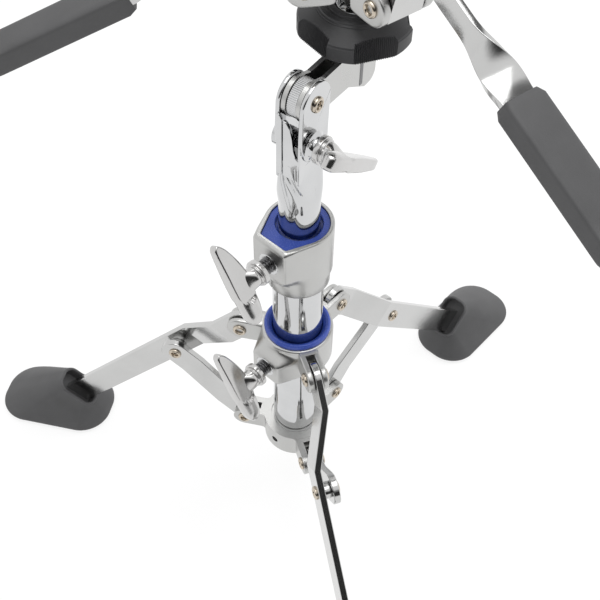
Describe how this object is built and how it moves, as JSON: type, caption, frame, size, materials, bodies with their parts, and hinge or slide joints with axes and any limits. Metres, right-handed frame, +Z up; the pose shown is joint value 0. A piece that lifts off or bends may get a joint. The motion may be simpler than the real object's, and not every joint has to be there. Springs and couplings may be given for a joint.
{
  "type": "snare drum stand",
  "caption": "Folding tripod stand with a tilting, screw-closed basket of rubber-tipped arms that holds a snare drum.",
  "frame": {"origin": "on the floor under the axis of the upright tubes", "axes": "+Z up along the upright tube; -Y towards the front leg, so the right leg lies at 30 degrees from +X and the left leg at 150"},
  "size_m": [0.3454, 0.3421, 0.37],
  "materials": {
    "chrome_steel": "bright chrome plate",
    "cast_metal": "chromed die casting",
    "wing_metal": "chromed die casting",
    "rivet_steel": "nickel plate",
    "threaded_steel": "threaded, plated",
    "blue_nylon": "moulded nylon",
    "dark_rubber": "moulded, matt",
    "black_plastic": "moulded, satin"
  },
  "bodies": {
    "stand": {"base_tube": "chrome_steel", "leg_hub": "cast_metal", "hub_set_screw": "threaded_steel", "hub_rivets": "rivet_steel", "height_clamp": "cast_metal", "height_bush": "blue_nylon"},
    "clamp_bolt": {"clamp_wing_bolt": "wing_metal"},
    "collar": {"leg_collar": "cast_metal", "collar_bush": "blue_nylon", "collar_rivets": "rivet_steel"},
    "collar_bolt": {"collar_wing_bolt": "wing_metal"},
    "upper": {"upper_tube": "chrome_steel", "tilter_rivet": "rivet_steel", "tilter_nut": "threaded_steel"},
    "tilter_bolt": {"tilter_wing_bolt": "wing_metal"},
    "tilter": {"tilter_arm": "chrome_steel", "tilter_ratchet": "rivet_steel", "basket_rod": "threaded_steel", "rod_collar": "rivet_steel", "upper_spider": "cast_metal", "upper_spider_pins": "rivet_steel", "rod_top_nut": "threaded_steel"},
    "spider": {"lower_spider": "cast_metal", "lower_spider_pins": "rivet_steel"},
    "knob": {"basket_knob": "black_plastic", "knob_insert": "rivet_steel"},
    "leg_right": {"leg_right": "chrome_steel", "foot_right": "dark_rubber", "leg_rivet_right": "rivet_steel"},
    "strut_right": {"strut_right": "chrome_steel", "strut_rivet_right": "rivet_steel"},
    "leg_left": {"leg_left": "chrome_steel", "foot_left": "dark_rubber", "leg_rivet_left": "rivet_steel"},
    "strut_left": {"strut_left": "chrome_steel", "strut_rivet_left": "rivet_steel"},
    "leg_front": {"leg_front": "chrome_steel", "foot_front": "dark_rubber", "leg_rivet_front": "rivet_steel"},
    "strut_front": {"strut_front": "chrome_steel", "strut_rivet_front": "rivet_steel"},
    "arm_1": {"basket_arm_1": "chrome_steel", "arm_spacer_1": "rivet_steel", "arm_tip_1": "dark_rubber"},
    "link_1": {"basket_link_1": "chrome_steel", "link_rivet_1": "rivet_steel"},
    "arm_2": {"basket_arm_2": "chrome_steel", "arm_spacer_2": "rivet_steel", "arm_tip_2": "dark_rubber"},
    "link_2": {"basket_link_2": "chrome_steel", "link_rivet_2": "rivet_steel"},
    "arm_3": {"basket_arm_3": "chrome_steel", "arm_spacer_3": "rivet_steel", "arm_tip_3": "dark_rubber"},
    "link_3": {"basket_link_3": "chrome_steel", "link_rivet_3": "rivet_steel"}
  },
  "joints": [
    {"name": "collar_slide", "type": "slide", "parent": "stand", "child": "collar", "axis": [0, 0, 1], "range_m": [0, 0.03081]},
    {"name": "leg_right_fold", "type": "hinge", "parent": "collar", "child": "leg_right", "pos_m": [0.02555, 0.01475, 0.13742], "axis": [-0.5, 0.866, 0], "range_deg": [0, 33.91]},
    {"name": "strut_right_fold", "type": "hinge", "parent": "stand", "child": "strut_right", "pos_m": [0.02555, 0.01475, 0.0534], "axis": [0.5, -0.866, 0], "range_deg": [0, 33.91]},
    {"name": "leg_left_fold", "type": "hinge", "parent": "collar", "child": "leg_left", "pos_m": [-0.02555, 0.01475, 0.13742], "axis": [-0.5, -0.866, 0], "range_deg": [0, 33.91]},
    {"name": "strut_left_fold", "type": "hinge", "parent": "stand", "child": "strut_left", "pos_m": [-0.02555, 0.01475, 0.0534], "axis": [0.5, 0.866, 0], "range_deg": [0, 33.91]},
    {"name": "leg_front_fold", "type": "hinge", "parent": "collar", "child": "leg_front", "pos_m": [0, -0.0295, 0.13742], "axis": [1, 0, 0], "range_deg": [0, 33.91]},
    {"name": "strut_front_fold", "type": "hinge", "parent": "stand", "child": "strut_front", "pos_m": [0, -0.0295, 0.0534], "axis": [-1, 0, 0], "range_deg": [0, 33.91]},
    {"name": "collar_bolt_turn", "type": "hinge", "parent": "collar", "child": "collar_bolt", "pos_m": [-0.02122, -0.01225, 0.13242], "axis": [-0.866, -0.5, 0], "continuous": true},
    {"name": "clamp_bolt_turn", "type": "hinge", "parent": "stand", "child": "clamp_bolt", "pos_m": [-0.01775, -0.01025, 0.209], "axis": [-0.866, -0.5, 0], "continuous": true},
    {"name": "height_slide", "type": "slide", "parent": "stand", "child": "upper", "axis": [0, 0, 1], "range_m": [-0.015, 0.1]},
    {"name": "tilter_bolt_turn", "type": "hinge", "parent": "upper", "child": "tilter_bolt", "pos_m": [0, 0, 0.2706], "axis": [0.6046, -0.7965, 0], "continuous": true},
    {"name": "tilter_tilt", "type": "hinge", "parent": "upper", "child": "tilter", "pos_m": [0.00096, 0.00073, 0.2916], "axis": [0.6046, -0.7965, 0], "range_deg": [-35, 55]},
    {"name": "basket_slide", "type": "slide", "parent": "tilter", "child": "spider", "axis": [0, 0, 1], "range_m": [0, 0.01367]},
    {"name": "knob_spin", "type": "hinge", "parent": "spider", "child": "knob", "pos_m": [0.03027, 0.02297, 0.3165], "axis": [0, 0, 1], "range_deg": [0, 2462]},
    {"name": "arm_1_lift", "type": "hinge", "parent": "tilter", "child": "arm_1", "pos_m": [0.03503, 0.00875, 0.359], "axis": [-0.9483, -0.3173, 0], "range_deg": [0, 60.01]},
    {"name": "link_1_swing", "type": "hinge", "parent": "spider", "child": "link_1", "pos_m": [0.03744, 0.00154, 0.33], "axis": [-0.9483, -0.3173, 0], "range_deg": [0, 3.31]},
    {"name": "arm_2_lift", "type": "hinge", "parent": "tilter", "child": "arm_2", "pos_m": [0.04021, 0.03421, 0.359], "axis": [0.749, -0.6626, 0], "range_deg": [0, 60.01]},
    {"name": "link_2_swing", "type": "hinge", "parent": "spider", "child": "link_2", "pos_m": [0.04524, 0.0399, 0.33], "axis": [0.749, -0.6626, 0], "range_deg": [0, 3.31]},
    {"name": "arm_3_lift", "type": "hinge", "parent": "tilter", "child": "arm_3", "pos_m": [0.01557, 0.02596, 0.359], "axis": [0.1994, 0.9799, 0], "range_deg": [0, 60.01]},
    {"name": "link_3_swing", "type": "hinge", "parent": "spider", "child": "link_3", "pos_m": [0.00812, 0.02748, 0.33], "axis": [0.1994, 0.9799, 0], "range_deg": [0, 3.31]}
  ],
  "couplings": [
    {"joint": "leg_right_fold", "follows": "collar_slide", "rad_per_m": 19.204},
    {"joint": "strut_right_fold", "follows": "collar_slide", "rad_per_m": 19.204},
    {"joint": "leg_left_fold", "follows": "collar_slide", "rad_per_m": 19.204},
    {"joint": "strut_left_fold", "follows": "collar_slide", "rad_per_m": 19.204},
    {"joint": "leg_front_fold", "follows": "collar_slide", "rad_per_m": 19.204},
    {"joint": "strut_front_fold", "follows": "collar_slide", "rad_per_m": 19.204},
    {"joint": "knob_spin", "follows": "basket_slide", "rad_per_m": 3141.6},
    {"joint": "arm_1_lift", "follows": "basket_slide", "rad_per_m": 76.606},
    {"joint": "link_1_swing", "follows": "basket_slide", "rad_per_m": 4.2076},
    {"joint": "arm_2_lift", "follows": "basket_slide", "rad_per_m": 76.606},
    {"joint": "link_2_swing", "follows": "basket_slide", "rad_per_m": 4.2076},
    {"joint": "arm_3_lift", "follows": "basket_slide", "rad_per_m": 76.606},
    {"joint": "link_3_swing", "follows": "basket_slide", "rad_per_m": 4.2076}
  ]
}
